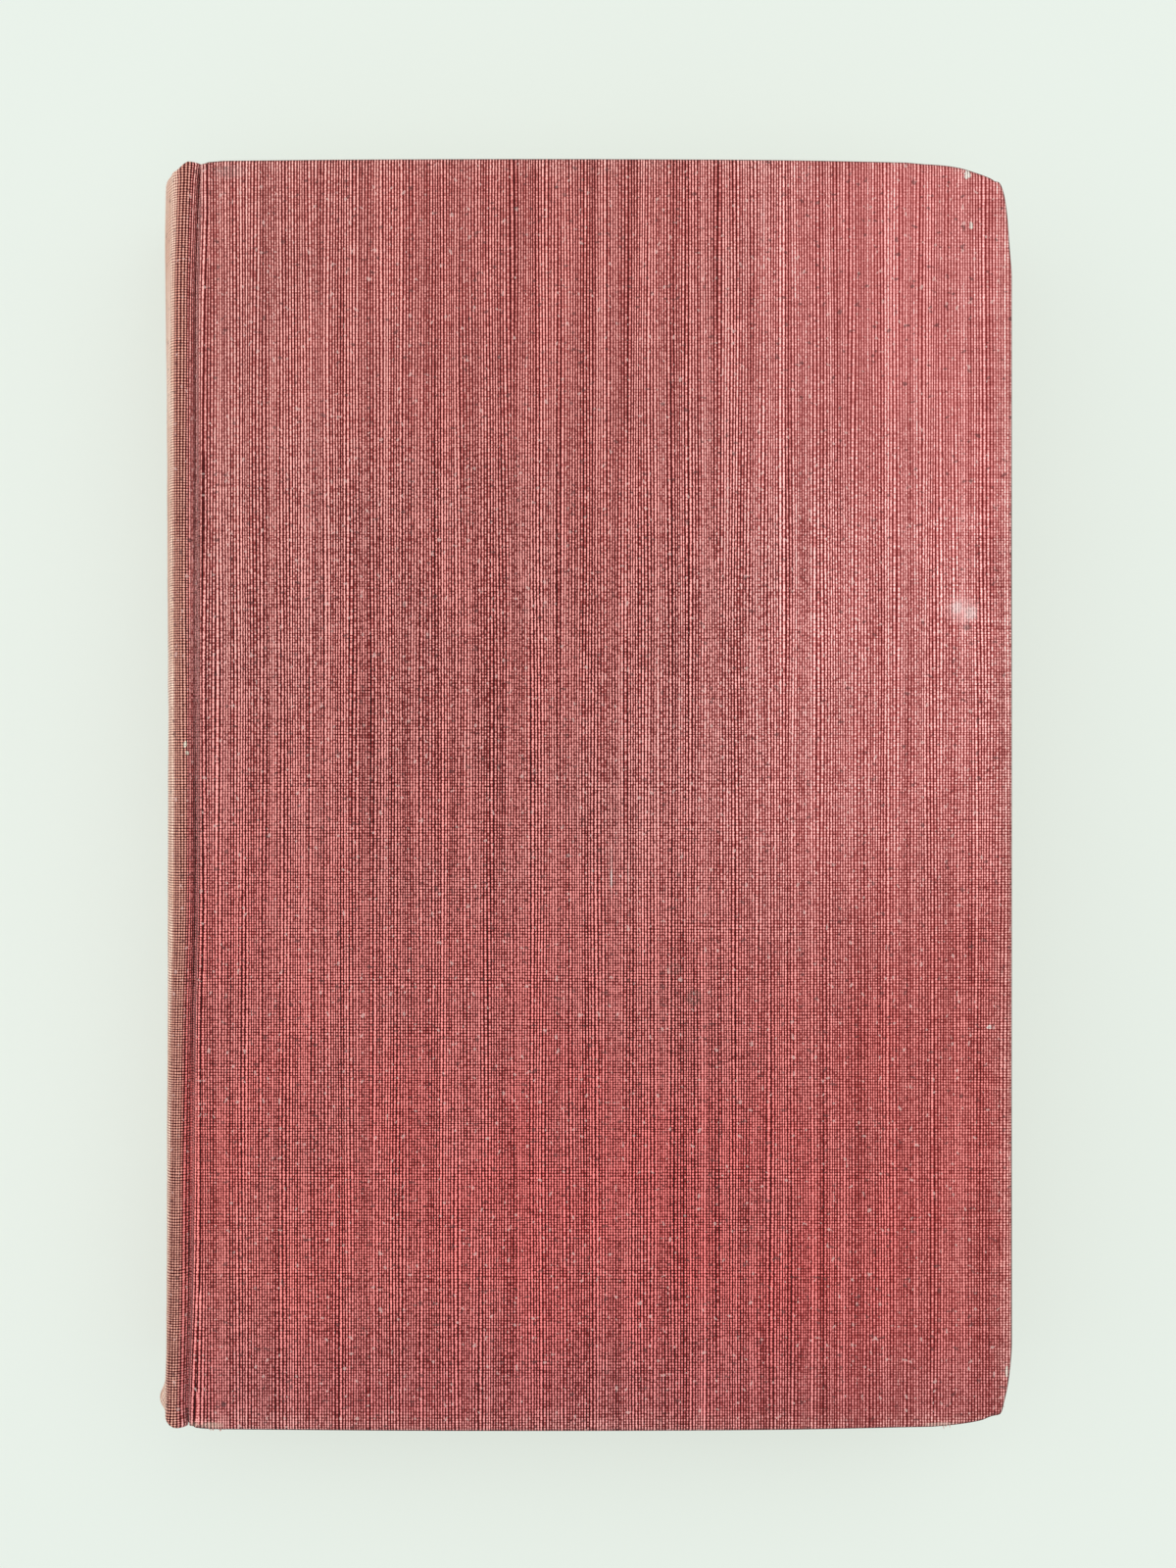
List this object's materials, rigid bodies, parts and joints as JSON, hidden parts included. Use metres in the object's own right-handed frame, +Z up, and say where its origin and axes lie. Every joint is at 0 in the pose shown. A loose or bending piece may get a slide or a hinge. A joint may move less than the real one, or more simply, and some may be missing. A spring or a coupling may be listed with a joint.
{
  "type": "hardback book",
  "caption": "Closed cloth-bound hardback book with a rounded hollow back, grooved joints, square boards with worn corners, and covers that open.",
  "frame": {"origin": "middle of the footprint, on the surface that the closed book lies on", "axes": "+X from the spine to the fore-edge, +Y from the tail to the head, +Z up through the thickness from the back cover to the front cover"},
  "size_m": [0.134, 0.196, 0.032],
  "materials": {
    "cover_cloth": "woven, matte",
    "bookboard": "matte",
    "spine_card": "matte",
    "lining_paper": "matte",
    "mull_cloth": "open weave, matte",
    "endpaper": "matte",
    "pages": "matte"
  },
  "bodies": {
    "book_block": {"text_block": "pages", "front_free_endpaper": "endpaper", "back_free_endpaper": "endpaper", "mull": "mull_cloth", "spine_lining": "lining_paper", "spine_inlay": "spine_card", "spine_cloth": "cover_cloth"},
    "front_cover": {"front_board": "bookboard", "front_cloth": "cover_cloth", "front_pastedown": "endpaper", "front_mull_flange": "mull_cloth"},
    "back_cover": {"back_board": "bookboard", "back_cloth": "cover_cloth", "back_pastedown": "endpaper", "back_mull_flange": "mull_cloth"}
  },
  "joints": [
    {"name": "front_hinge", "type": "hinge", "parent": "book_block", "child": "front_cover", "pos_m": [-0.0587, 0, 0.032], "axis": [0, -1, 0], "range_deg": [0, 178]},
    {"name": "back_hinge", "type": "hinge", "parent": "book_block", "child": "back_cover", "pos_m": [-0.0587, 0, 0], "axis": [0, 1, 0], "range_deg": [0, 178]}
  ]
}
